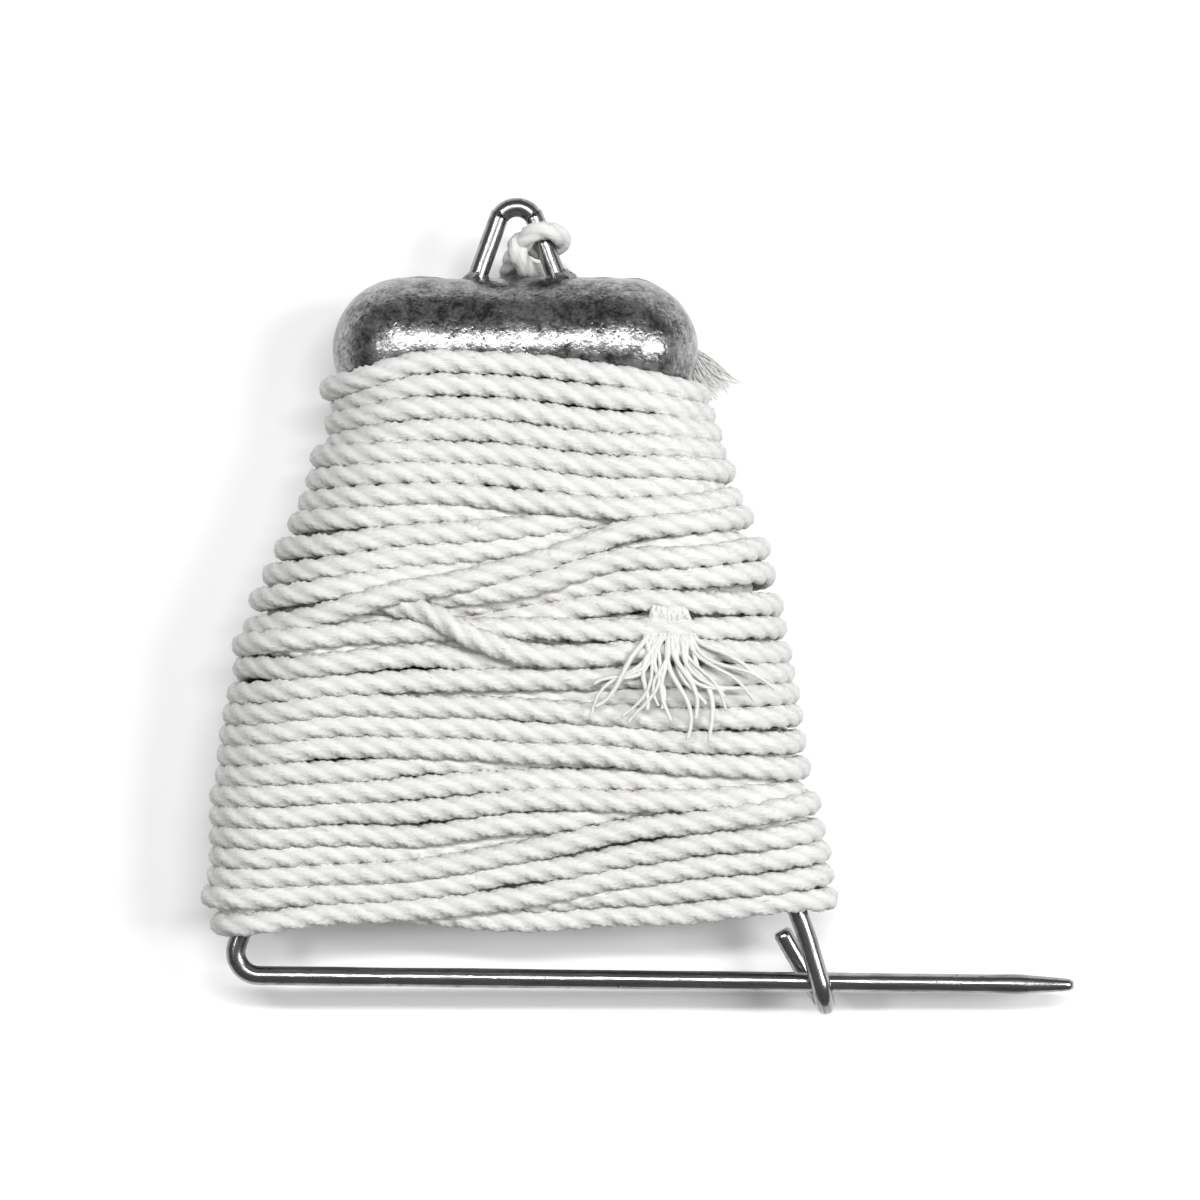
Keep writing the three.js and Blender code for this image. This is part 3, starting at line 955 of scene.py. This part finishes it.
@dataclass
class LineWinding:
    """The line from its knot: down behind the weight, along the hollow and round the legs in four layers."""

    wire: WireFrame
    line: TwistedLine
    first_layer: float = 2.8
    layer_step: float = 2.8
    spacing: float = 2.6
    sink_depth: float = 2.5
    node_step: float = 1.5
    wander: float = 0.8
    sway_side: float = 0.5
    sway_middle: float = 0.8
    corner_share: float = 0.65
    corner_ease: float = 1.2
    push_gain: float = 1.5
    hold: float = 0.995
    seen_step: float = 1.0
    hidden_step: float = 4.0
    seed: int = 11
    girths: tuple[Girth, ...] = (
        Girth(30.0, -37.8, 7.6, 10.6),
        Girth(26.0, -38.9, 9.0, 12.4),
        Girth(19.7, -41.1, 10.9, 12.6),
        Girth(13.4, -42.8, 12.6, 12.6),
        Girth(7.2, -46.1, 16.1, 12.6),
        Girth(0.9, -48.9, 18.0, 12.6),
        Girth(-5.3, -50.4, 18.8, 12.6),
        Girth(-11.6, -52.2, 20.4, 11.8),
        Girth(-17.8, -53.3, 20.9, 10.6),
        Girth(-24.1, -54.2, 21.9, 9.6),
        Girth(-30.3, -54.4, 23.9, 8.0),
        Girth(-36.6, -53.8, 25.3, 6.0),
        Girth(-40.0, -51.8, 25.4, 4.4),
    )
    top_bands: tuple[Band, ...] = (
        Band(
            4,
            (26.3, 29.3, 29.5, 28.2, 24.8),
            (21.7, 22.3, 21.2, 20.5, 19.8),
            last_sunk=(0.3, 0.1, 0, 0, 0),
        ),
        Band(
            3,
            (19.1, 19.5, 18.4, 17.6, 16.8),
            (12.8, 13.5, 12.4, 11.1, 11.9),
            last_sunk=(0, 0, 0, 0.3, 0.8),
        ),
        Band(
            4,
            (10.4, 10.8, 9.9, 10.7, 11.4),
            (0.7, 3.7, 7.2, 9.5, 9.7),
            first_sunk=(0, 0.1, 0.3, 1.0, 1.0),
            last_sunk=(0, 0, 0.4, 0.9, 1.0),
        ),
        Band(1, (-3.3, 0.8, 4.2, 9.7, 11.2), (-3.3, 0.8, 4.2, 9.7, 11.2)),
        Band(
            3,
            (-2.2, -0.6, 1.5, 6.3, 7.6),
            (-5.3, -2.5, -0.1, 1.3, -0.1),
            first_sunk=(1, 1.2, 0.3, 0, 0),
            last_sunk=(1, 1.3, 0.6, 0, 0),
        ),
        Band(1, (-4.8, -3.2, -2.3, -2.6, -2.8), (-4.8, -3.2, -2.3, -2.6, -2.8)),
        Band(
            1,
            (-7.6, -5.8, -5.2, -5.2, -4.7),
            (-7.6, -5.8, -5.2, -5.2, -4.7),
            first_sunk=(0, 0, 0.8, 1, 0.9),
        ),
        Band(
            1,
            (0.9, 0.2, -5.2, -5.3, -5.6),
            (0.9, 0.2, -5.2, -5.3, -5.6),
            first_sunk=(1, 0.3, -0.7, 0.1, 0.2),
        ),
    )
    middle_bands: tuple[Band, ...] = (
        Band(3, (-17.9, -16.6, -17.7, -18.8, -20.1), (-13.6, -12.3, -12.3, -13.3, -13.6)),
        Band(
            1,
            (-12.3, -11.3, -11.2, -11.0, -10.6),
            (-12.3, -11.3, -11.2, -11.0, -10.6),
            first_sunk=(1, 1, 0.8, 0.2, 0),
        ),
        Band(1, (-11.2, -9.6, -8.5, -8.3, -7.8), (-11.2, -9.6, -8.5, -8.3, -7.8)),
    )
    foot_bands: tuple[Band, ...] = (
        Band(
            3,
            (-20.7, -19.6, -18.5, -19.0, -20.6),
            (-26.1, -25.4, -23.9, -23.4, -22.8),
            first_sunk=(0, 0, 0.7, 1, 1),
            last_sunk=(0, 0, 0, 0.1, 0.9),
        ),
        Band(
            2,
            (-28.3, -28.2, -27.0, -25.0, -24.6),
            (-31.2, -30.2, -28.7, -26.7, -25.6),
            first_sunk=(0, 0.1, 0, 1, 1),
            last_sunk=(0, 0.3, 1, 1, 1),
        ),
        Band(2, (-36.2, -35.4, -33.1, -29.7, -27.4), (-37.8, -37.4, -35.9, -32.6, -30.6)),
        Band(
            2,
            (-34.4, -35.4, -36.9, -35.0, -33.4),
            (-36.6, -37.0, -38.0, -37.3, -36.2),
            first_sunk=(1, 1, 0.5, 0, 0),
            last_sunk=(1, 1, 0.8, 0, 0),
        ),
    )
    rising_turn: Band = Band(1, (-34.3, -33.3, -30.0, -26.4, -23.8), (-34.3, -33.3, -30.0, -26.4, -23.8))
    free_end: Band = Band(
        1, (-4.5, -4.2, -3.6, -3.2, -3.0), (-4.5, -4.2, -3.6, -3.2, -3.0), first_sunk=(1, 1, 1, 1, 1)
    )
    free_end_across: float = 0.72
    lead_points: tuple[tuple[float, float, float], ...] = (
        (-15.4, 45.2, 10.6),
        (-15.8, 44.1, 8.2),
        (-16.2, 42.7, 4.6),
        (-16.4, 39.5, 2.35),
        (-16.4, 36.1, 1.85),
        (-16.4, 32.6, 1.75),
        (-16.4, 29.5, 1.95),
        (-16.5, 26.4, 3.4),
        (-16.6, 23.6, 6.4),
        (-16.8, 21.2, 10.0),
        (-17.0, 18.0, 12.3),
        (-17.4, 12.0, 12.6),
        (-18.0, 0.0, 12.6),
        (-18.6, -12.0, 12.6),
        (-19.6, -21.0, 12.6),
        (-22.4, -27.5, 12.3),
        (-27.6, -30.4, 11.4),
        (-34.5, -31.0, 10.3),
        (-42.0, -31.0, 9.7),
    )
    weight: CastWeight = field(default_factory=CastWeight)

    def inner_laps(self, layer: int, turns: int, start: float, end: float) -> list[Lap]:
        """Level hidden turns of one layer, evenly from one height to another."""
        return [Lap(np.full(5, y), np.zeros(5), layer, False) for y in np.linspace(start, end, turns)]

    def outer_laps(self, bands: tuple[Band, ...], layer: int) -> list[Lap]:
        """The outer turns of some bands."""
        return [Lap(heights, sunk, layer, True) for band in bands for heights, sunk in band.rows()]

    def laps(self) -> list[Lap]:
        """Every turn in the order in which it was wound."""
        made = self.inner_laps(1, 15, -31.0, 20.4)
        made += self.inner_laps(2, 11, 21.8, -16.5)
        made += self.outer_laps(self.foot_bands, 2)
        made += self.outer_laps((self.rising_turn,), 3)
        made += self.outer_laps(self.middle_bands, 3)
        made += self.inner_laps(3, 5, -4.5, 23.0)
        made += self.outer_laps(self.top_bands, 4)
        return made + self.outer_laps((self.free_end,), 4)

    def half_lap(
        self, heights: np.ndarray, sunk: np.ndarray, face: Face, ends: tuple[Lap, Lap], part: float = 1.0
    ) -> np.ndarray:
        """Points of one crossing of the front or the back.

        Args:
            heights: Heights at even places across, from left to right.
            sunk: How far the line lies under its neighbours at the same places, in sink depths.
            face: Front, which runs left to right, or back, which runs right to left.
            ends: The turns that its left and right ends belong to.
            part: How much of the crossing is made.

        Returns:
            The points, in the order in which the line runs.
        """
        mean = float(np.mean(heights))
        left, right, depth = self.reach_between(np.array([mean]), np.zeros(1), ends, np.array([0.5]))
        span = (self.wire.right_x(mean) - self.wire.left_x(mean)) + 0.5 * float(left[0] + right[0])
        length = span + 0.8 * float(left[0] + right[0])
        count = max(12, round(length * part / self.node_step))
        run = np.linspace(0, part, count, endpoint=part < 1) * length
        corner_left = self.corner_share * float(left[0] + depth[0]) * self.corner_ease
        corner_right = self.corner_share * float(right[0] + depth[0]) * self.corner_ease
        flat_end = length - corner_right
        turn_left = np.clip(run / corner_left, 0, 1) * math.pi / 2
        turn_right = np.clip((run - flat_end) / corner_right, 0, 1) * math.pi / 2
        flat = np.clip((run - corner_left) / (flat_end - corner_left), 0, 1)
        leg_left, leg_right = self.wire.left_x(mean), self.wire.right_x(mean)
        rough_x = leg_left + (leg_right - leg_left) * flat
        rough_x = rough_x - left[0] * np.cos(turn_left) + right[0] * np.sin(turn_right)
        across = (rough_x - leg_left + left[0]) / (leg_right - leg_left + left[0] + right[0])
        places = np.linspace(0, 1, len(heights))
        y = curve_through(places, heights, across)
        deep = curve_through(places, sunk, across)
        left, right, depth = self.reach_between(y, deep, ends, across)
        leg_left, leg_right = self.wire.left_x(y), self.wire.right_x(y)
        x = leg_left + (leg_right - leg_left) * flat
        x = x - left * np.cos(turn_left) + right * np.sin(turn_right)
        z = depth * np.sin(turn_left) * np.cos(turn_right)
        points = np.stack([x, y, self.wire.mid_z + face.value * z], axis=1)
        return points if face is Face.FRONT else points[::-1]

    def reach(self, y: np.ndarray, sunk: np.ndarray, lap: Lap) -> tuple[np.ndarray, np.ndarray, np.ndarray]:
        """How far a turn's centreline lies from the legs.

        Args:
            y: The heights to look at.
            sunk: How far the line lies under its neighbours there, in sink depths.
            lap: The turn.

        Returns:
            How far to the left of the left leg, to the right of the right leg and in front of both it lies.
        """
        heights = [g.y for g in self.girths][::-1]
        left = np.interp(y, heights, [g.left for g in self.girths][::-1])
        right = np.interp(y, heights, [g.right for g in self.girths][::-1])
        depth = np.interp(y, heights, [g.depth for g in self.girths][::-1])
        within = self.line.radius + sunk * self.sink_depth
        most = self.wire.left_x(y) - left - within, right - self.wire.right_x(y) - within, depth - within
        if lap.outer:
            return tuple(np.maximum(side, self.first_layer) for side in most)
        own = self.first_layer + self.layer_step * (lap.layer - 1)
        return tuple(np.maximum(np.minimum(side - self.layer_step, own), self.first_layer) for side in most)

    def reach_between(
        self, y: np.ndarray, sunk: np.ndarray, ends: tuple[Lap, Lap], across: np.ndarray
    ) -> list[np.ndarray]:
        """The reach of a crossing that goes over from one turn's layer to the next one's.

        Args:
            y: The heights to look at.
            sunk: How far the line lies under its neighbours there, in sink depths.
            ends: The turns that its left and right ends belong to.
            across: How far across each height is, from 0 at the left to 1.

        Returns:
            The same three distances as reach gives.
        """
        share = across * across * (3 - 2 * across)
        first, last = self.reach(y, sunk, ends[0]), self.reach(y, sunk, ends[1])
        return [a * (1 - share) + b * share for a, b in zip(first, last)]

    def nodes(self) -> tuple[np.ndarray, np.ndarray]:
        """The centreline as laid out, before its turns settle.

        Returns:
            Its points, about a node step apart, and whether each is on an outer turn, as 1 or 0.
        """
        laps = self.laps()
        chance = random.Random(self.seed)
        points = [stepped(np.array(self.lead_points), self.node_step)]
        seen = [np.ones(len(points[0]))]
        for index, lap in enumerate(laps):
            final = index == len(laps) - 1
            part = self.free_end_across if final else 1.0
            front = self.half_lap(lap.heights, lap.sunk, Face.FRONT, (lap, lap), part)
            if lap.outer:
                front += self.hand_laid(front, index)
            points.append(front)
            seen.append(np.full(len(front), float(lap.outer)))
            if final:
                break
            after = laps[index + 1]
            swings = (self.sway_side, self.sway_middle, self.sway_side)
            sway = np.array([0.0, *(chance.uniform(-swing, swing) for swing in swings), 0.0])
            ends = np.linspace(after.heights[0], lap.heights[-1], 5)
            sunk = np.linspace(after.sunk[0], lap.sunk[-1], 5) * np.array([1, 0.3, 0, 0.3, 1])
            back = self.half_lap(ends + sway, sunk, Face.BACK, (after, lap))
            points.append(back)
            seen.append(np.full(len(back), float(lap.outer)))
        route, shown = np.vstack(points), np.concatenate(seen)
        along = distances(route)
        even = np.arange(0, along[-1], self.node_step)
        return evened(at_distances(route, even)), np.interp(even, along, shown)

    def hand_laid(self, points: np.ndarray, index: int) -> np.ndarray:
        """The small wanderings of one turn that was wound by hand.

        Args:
            points: The turn's front.
            index: Its number, which picks its own wanderings.

        Returns:
            How far each point is moved.
        """
        moved = np.zeros_like(points)
        for row, x in enumerate(points[:, 0]):
            drift = noise.noise(Vector((x * 0.09, index * 0.55, self.seed))) * self.wander
            shake = noise.noise(Vector((x * 0.3, index * 1.3, self.seed + 5))) * self.wander * 0.35
            moved[row, 1] = drift + shake
        return moved

    def settle(self, route: np.ndarray, rounds: int = 34) -> np.ndarray:
        """Moves turns that lie in each other apart, and off the legs, the weight and the table.

        Args:
            route: The centreline as laid out.
            rounds: How many times the whole line is gone over.

        Returns:
            The centreline after the last round. Some turns still lie closer than the spacing.
        """
        moved = np.zeros_like(route)
        skip = round(4 * self.spacing / self.node_step)
        for _ in range(rounds):
            place = route + moved
            push = np.zeros_like(route)
            weight = np.full(len(route), 1e-6)
            first, second = close_pairs(place, self.spacing, skip)
            gap = place[first] - place[second]
            size = np.linalg.norm(gap, axis=1, keepdims=True)
            shove = gap / np.maximum(size, 0.05) * (self.spacing - size) * 0.5
            np.add.at(push, first, shove)
            np.add.at(push, second, -shove)
            np.add.at(weight, first, 1.0)
            np.add.at(weight, second, 1.0)
            push = push / np.maximum(weight, 1.0)[:, None] * self.push_gain
            moved = evened((moved + push) * self.hold)
            moved = self.off_legs(self.kept_clear(route + moved), route) - route
        log.info("line settled: %d pairs of points still touch", len(first))
        return route + moved

    def kept_clear(self, place: np.ndarray) -> np.ndarray:
        """Moves points out of the weight and the table.

        Args:
            place: The points.

        Returns:
            The points, each at least a line's radius above the table and off the weight's surface.
        """
        place = place.copy()
        place[:, 2] = np.maximum(place[:, 2], self.line.radius)
        bar = self.weight
        reach = bar.length / 2 - bar.radius
        nearest = np.stack(
            [
                np.clip(place[:, 0], bar.centre[0] - reach, bar.centre[0] + reach),
                np.full(len(place), bar.centre[1]),
                np.full(len(place), bar.centre[2]),
            ],
            axis=1,
        )
        out = place - nearest
        size = np.linalg.norm(out, axis=1, keepdims=True)
        least = bar.radius + self.line.radius
        radial = nearest + out / np.maximum(size, 0.1) * least
        flat = np.linalg.norm(out[:, :2], axis=1)
        lifted = place.copy()
        rise = np.sqrt(np.maximum(least**2 - flat**2, 0.0))
        lifted[:, 2] = bar.centre[2] + np.sign(out[:, 2]) * np.maximum(np.abs(out[:, 2]), rise)
        upright = np.clip((np.abs(out[:, 2]) - 1.5) / 3.0, 0, 1)[:, None]
        return np.where(size < least, lifted * upright + radial * (1 - upright), place)

    def off_legs(self, place: np.ndarray, laid: np.ndarray) -> np.ndarray:
        """Moves points out of the steel of both legs.

        Args:
            place: The points as they are now.
            laid: The same points as laid out, which say on which side of a leg each one belongs.

        Returns:
            The points, each at least a wire's and a line's radius from both legs.
        """
        place = place.copy()
        least = self.wire.radius + self.line.radius
        mid = self.wire.mid_z
        for leg, lean in ((self.wire.left_x, self.wire.left_lean), (self.wire.right_x, self.wire.right_lean)):
            square = 1 / math.hypot(1.0, lean)
            now = np.stack([(place[:, 0] - leg(place[:, 1])) * square, place[:, 2] - mid], axis=1)
            own = np.stack([(laid[:, 0] - leg(laid[:, 1])) * square, laid[:, 2] - mid], axis=1)
            way = np.where((now * own).sum(axis=1, keepdims=True) > 0, now, own)
            way /= np.maximum(np.linalg.norm(way, axis=1, keepdims=True), 0.05)
            inside = np.linalg.norm(now, axis=1) < least
            place[inside, 0] = (leg(place[:, 1]) + way[:, 0] * least / square)[inside]
            place[inside, 2] = (mid + way[:, 1] * least)[inside]
        return place

    def build(self, cotton: bpy.types.Material) -> tuple[bpy.types.Object, np.ndarray]:
        """Makes the line as one tube.

        Args:
            cotton: Its finish.

        Returns:
            The line, and its centreline in millimetres.
        """
        nodes, seen = self.nodes()
        nodes = self.settle(nodes)
        curve = spline(nodes, 4)
        shown = np.interp(np.linspace(0, len(nodes) - 1, len(curve)), np.arange(len(nodes)), seen)
        along = distances(curve)
        marks = [0.0]
        while marks[-1] < along[-1]:
            outside = np.interp(marks[-1], along, shown) > 0.01
            marks.append(marks[-1] + (self.seen_step if outside else self.hidden_step))
        marks[-1] = along[-1]
        centres = at_distances(curve, np.array(marks))
        twist = np.interp(marks, along, shown)
        skin = self.line.skin(centres, twist)
        wound = piece("wound_line", skin.mesh("wound_line"), cotton, Slot.LINE, "line_winding", "line_lead")
        log.info("line length: %.2f m", along[-1] * MM)
        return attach(wound, Body.FRAME.value), centres


def evened(values: np.ndarray, rounds: int = 2) -> np.ndarray:
    """Rows of values with their small unevenness taken out.

    Args:
        values: The rows, in order.
        rounds: How many times each is drawn towards its neighbours.

    Returns:
        New rows, of which the first and the last are as they were.
    """
    values = values.copy()
    for _ in range(rounds):
        values[1:-1] = 0.5 * values[1:-1] + 0.25 * (values[:-2] + values[2:])
    return values


def curve_through(places: np.ndarray, values: np.ndarray, wanted: np.ndarray) -> np.ndarray:
    """A smooth curve through some values.

    Args:
        places: Even places.
        values: The value at each of them.
        wanted: The places to read the curve at.

    Returns:
        The curve's value at each wanted place.
    """
    points = np.stack([places, values, np.zeros(len(values))], axis=1)
    curve = spline(points, 8)
    return np.interp(wanted, curve[:, 0], curve[:, 1])


def close_pairs(points: np.ndarray, reach: float, skip: int) -> tuple[np.ndarray, np.ndarray]:
    """Pairs of points that are close in space but not along the line.

    Args:
        points: The line's points, in order.
        reach: How close they are.
        skip: How many points along the line are passed over.

    Returns:
        The number of the first point and of the second point of each pair.
    """
    tree = KDTree(len(points))
    for index, point in enumerate(points):
        tree.insert(point, index)
    tree.balance()
    first: list[int] = []
    second: list[int] = []
    for index, point in enumerate(points):
        for _, other, _ in tree.find_range(point, reach):
            if other > index + skip:
                first.append(index)
                second.append(other)
    return np.array(first, int), np.array(second, int)


# -------------------------------------------------------------------------------- knot and frays


@dataclass
class LoopKnot:
    """The knot on the loop's right limb, and the tail that runs down behind the weight."""

    line: TwistedLine
    step: float = 0.7
    points: tuple[tuple[float, float, float], ...] = (
        (-16.8, 41.6, 5.0),
        (-16.4, 43.1, 8.8),
        (-15.5, 44.6, 12.2),
        (-14.3, 46.0, 14.4),
        (-12.9, 46.9, 15.1),
        (-11.4, 46.8, 14.8),
        (-9.9, 46.2, 12.8),
        (-10.3, 45.4, 10.8),
        (-11.9, 44.9, 10.1),
        (-13.5, 45.0, 10.6),
        (-14.7, 45.8, 12.0),
        (-15.5, 45.4, 13.6),
        (-15.3, 44.0, 13.6),
        (-14.5, 42.6, 11.2),
        (-13.0, 42.2, 8.0),
        (-10.8, 42.7, 5.4),
        (-9.2, 41.2, 3.2),
        (-6.0, 38.5, 1.85),
        (0.5, 35.5, 1.85),
        (5.1, 33.85, 1.85),
    )

    def build(self, cotton: bpy.types.Material) -> bpy.types.Object:
        """Makes the knot and its tail as one length of line.

        Args:
            cotton: Its finish.

        Returns:
            The knot and tail.
        """
        mesh = self.line.skin(stepped(np.array(self.points), self.step)).mesh("knot_and_tail")
        made = piece("knot_and_tail", mesh, cotton, Slot.LINE, "line_knot", "line_tail")
        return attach(made, Body.FRAME.value)


@dataclass
class Fray:
    """An untwisted end: yarns that leave one place and fan out."""

    name: str
    node: str
    root: tuple[float, float, float]
    heading: float
    spread: float
    yarns: int
    shortest: float
    longest: float
    thickness: float
    root_width: float
    rise: float
    rest: float
    wave: float
    seed: int
    before: tuple[tuple[float, float], ...] = ()
    steps: int = 22
    sides: int = 6
    taper: float = 0.35

    def yarn(self, chance: random.Random, share: float) -> Skin:
        """One yarn.

        Args:
            chance: The source of its own small differences.
            share: Where it lies in the fan, from -1 to 1.

        Returns:
            Its surface.
        """
        length = chance.uniform(self.shortest, self.longest)
        heading = math.radians(self.heading + self.spread * share)
        start_heading = math.radians(self.heading + self.spread * share * 0.25)
        phase, swing = chance.uniform(0, 6.28), chance.uniform(0.5, 1.0) * self.wave
        place = np.array(self.root) + np.array([self.root_width * share, 0.0, 0.0])
        lift = chance.uniform(0.3, 1.0) * self.rise
        points = [
            np.array([place[0] - 0.3 * share * back, self.root[1] + back * chance.uniform(0.85, 1.1), z])
            for back, z in self.before
        ]
        points.append(place.copy())
        step = length / self.steps
        for i in range(self.steps):
            t = (i + 1) / self.steps
            turn = start_heading + (heading - start_heading) * min(1.0, t * 1.6)
            turn += swing * math.sin(phase + 5.5 * t)
            place = place + step * np.array([math.cos(turn), math.sin(turn), 0.0])
            hump = lift * math.sin(math.pi * min(1.0, t * 1.1)) * 0.6
            height = self.root[2] + hump + (self.rest - self.root[2]) * t**1.3
            points.append(np.array([place[0], place[1], max(height, self.thickness)]))
        route = spline(np.array(points), 2)
        along = distances(route)
        thinning = 1 - self.taper * (along / along[-1]) ** 3
        radius = self.thickness / 2 * chance.uniform(0.8, 1.15) * thinning
        return Skin(tube_rings(route, radius[:, None], round_angles(self.sides)), along)

    def build(self, cotton: bpy.types.Material) -> bpy.types.Object:
        """Makes the whole fan as one piece.

        Args:
            cotton: Its finish.

        Returns:
            The fan.
        """
        chance = random.Random(self.seed)
        skins = []
        for i in range(self.yarns):
            share = -1 + 2 * (i + chance.uniform(-0.35, 0.35)) / max(1, self.yarns - 1)
            skins.append(self.yarn(chance, share))
        made = piece(self.name, joined(self.name, skins), cotton, Slot.LINE, self.node)
        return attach(made, Body.FRAME.value)


@dataclass
class Fuzz:
    """Loose cotton fibres that stand off the outer turns."""

    line: TwistedLine
    count: int = 2600
    shortest: float = 0.5
    longest: float = 1.9
    radius: float = 0.028
    sides: int = 3
    rooted: float = 0.85
    longest_step: float = 1.5
    off_table: float = 0.05
    seed: int = 23

    def fibre(self, chance: random.Random, foot: np.ndarray, out: np.ndarray, ahead: np.ndarray) -> Skin:
        """One curled fibre, rooted just inside the line's surface.

        Args:
            chance: The source of its own small differences.
            foot: Where it leaves the line.
            out: Straight off the line's surface.
            ahead: Along the line.

        Returns:
            Its surface.
        """
        length = chance.uniform(self.shortest, self.longest)
        lean = chance.uniform(-1.6, 1.6)
        curl = chance.uniform(-1.2, 1.2)
        across = np.cross(out, ahead)
        points = []
        for t in (0.0, 0.35, 0.7, 1.0):
            lift = (t - 0.55 * t * t) * length * 0.55
            points.append(foot + out * lift + (ahead * lean + across * curl * t) * t * length * 0.5)
        route = np.array(points)
        radius = self.radius * (1 - 0.5 * np.linspace(0, 1, len(route)))
        return Skin(tube_rings(route, radius[:, None], round_angles(self.sides)), distances(route))

    def build(self, centres: np.ndarray, cotton: bpy.types.Material) -> bpy.types.Object:
        """Makes the fibres as one piece.

        Args:
            centres: The line's centreline, which is stepped closely where it shows.
            cotton: The fibres' finish.

        Returns:
            The fibres.
        """
        chance = random.Random(self.seed)
        steps = np.linalg.norm(np.diff(centres, axis=0), axis=1)
        seen = [i for i in range(2, len(steps) - 2) if steps[i] < self.longest_step]
        skins = []
        for _ in range(self.count):
            index = chance.choice(seen)
            ahead = unit(centres[index + 1] - centres[index - 1])
            angle = chance.uniform(0, 2 * math.pi)
            side = unit(np.cross(ahead, np.array([0.0, 0.0, 1.0])) + 1e-6)
            out = math.cos(angle) * side + math.sin(angle) * np.cross(side, ahead)
            foot = centres[index] + out * self.line.radius * self.rooted
            skin = self.fibre(chance, foot, out, ahead)
            if skin.rings[..., 2].min() > self.off_table:
                skins.append(skin)
        made = piece("line_fuzz", joined("line_fuzz", skins), cotton, Slot.LINE)
        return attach(made, Body.FRAME.value)


# -------------------------------------------------------------------------------- studio


@dataclass(frozen=True)
class Lamp:
    """A rectangular soft light, with its place and size in metres and its power in watts."""

    name: str
    place: tuple[float, float, float]
    size: tuple[float, float]
    power: float


@dataclass
class Studio:
    """A white table, soft lights and a camera straight above."""

    centre: tuple[float, float] = (-5.125, 0.94)
    plane_z: float = 12.6
    distance: float = 500.0
    across: float = 150.0
    sensor: float = 36.0
    floor_size: float = 2.4
    sky: float = 0.17
    aim: tuple[float, float, float] = (-0.012, 0.0, 0.0)
    lamps: tuple[Lamp, ...] = (
        Lamp("overhead", (0.0, 0.235, 0.85), (0.62, 0.06), 5.3),
        Lamp("key", (0.5, 0.06, 0.58), (0.26, 0.34), 3.8),
        Lamp("fill", (-0.44, 0.05, 0.72), (0.1, 0.1), 0.9),
    )

    def camera(self) -> None:
        """The camera, looking straight down."""
        data = bpy.data.cameras.new("camera")
        data.sensor_width = self.sensor
        data.lens = self.sensor * self.distance / self.across
        data.clip_start = 0.01
        data.clip_end = 20
        view = bpy.data.objects.new("camera", data)
        view.location = Vector((*self.centre, self.plane_z + self.distance)) * MM
        bpy.context.scene.collection.objects.link(view)
        bpy.context.scene.camera = view

    def light(self, lamp: Lamp) -> None:
        """Puts up one lamp, aimed at the middle of the table.

        Args:
            lamp: The lamp.
        """
        data = bpy.data.lights.new(lamp.name, "AREA")
        data.shape = "RECTANGLE"
        data.size, data.size_y = lamp.size
        data.energy = lamp.power
        made = bpy.data.objects.new(lamp.name, data)
        made.location = lamp.place
        made.rotation_euler = (Vector(self.aim) - Vector(lamp.place)).to_track_quat("-Z", "Y").to_euler()
        bpy.context.scene.collection.objects.link(made)

    def floor(self) -> None:
        """The table's white top."""
        half = self.floor_size / 2
        mesh = bpy.data.meshes.new("table_top")
        corners = [(-half, -half, 0), (half, -half, 0), (half, half, 0), (-half, half, 0)]
        mesh.from_pydata(corners, [], [(0, 1, 2, 3)])
        mesh.materials.append(FloorFinish().material("white_paper"))
        top = bpy.data.objects.new("table_top", mesh)
        bpy.context.scene.collection.objects.link(top)

    def build(self) -> None:
        """Sets the whole studio up."""
        scene = bpy.context.scene
        scene.view_settings.view_transform = "Standard"
        world = bpy.data.worlds.new("studio")
        world.use_nodes = True
        background = world.node_tree.nodes["Background"]
        background.inputs["Color"].default_value = (1, 1, 1, 1)
        background.inputs["Strength"].default_value = self.sky
        scene.world = world
        self.camera()
        self.floor()
        for lamp in self.lamps:
            self.light(lamp)
        log.info("studio ready")


def main() -> None:
    """Builds the studio and every piece."""
    logging.basicConfig(level=logging.INFO, format="%(name)s %(message)s")
    Studio().build()
    cotton = CottonFinish().material("cotton_line")
    yarn_cotton = CottonFinish(pitch=3.0, girth=2.0).material("cotton_yarn", grooves=False)
    wire = WireFrame()
    line = TwistedLine()
    winding, centres = LineWinding(wire, line).build(cotton)
    fuzz = Fuzz(line).build(centres, yarn_cotton)
    knot = LoopKnot(TwistedLine(radius=1.3)).build(cotton)
    tuft = Fray(
        name="tail_tuft",
        node="tail_fray",
        root=(4.9, 33.8, 2.0),
        heading=-58.0,
        spread=30.0,
        yarns=80,
        shortest=6.0,
        longest=9.0,
        thickness=0.26,
        root_width=0.9,
        rise=2.5,
        rest=2.6,
        wave=0.3,
        seed=5,
    ).build(yarn_cotton)
    fan = Fray(
        name="free_end_yarns",
        node="free_end_fray",
        root=(3.4, -3.6, 25.2),
        heading=-82.0,
        spread=66.0,
        yarns=21,
        shortest=8.5,
        longest=14.5,
        thickness=0.64,
        root_width=3.0,
        rise=1.4,
        rest=25.9,
        wave=0.6,
        seed=9,
        before=((3.9, 24.2), (3.1, 24.8), (1.9, 24.0), (0.9, 24.0)),
    ).build(yarn_cotton)
    wire.build(SteelFinish().material("steel_wire"))
    CastWeight().build(wire, LeadFinish().material("cast_lead"))
    log.info("boxes written")


if __name__ == "__main__":
    main()
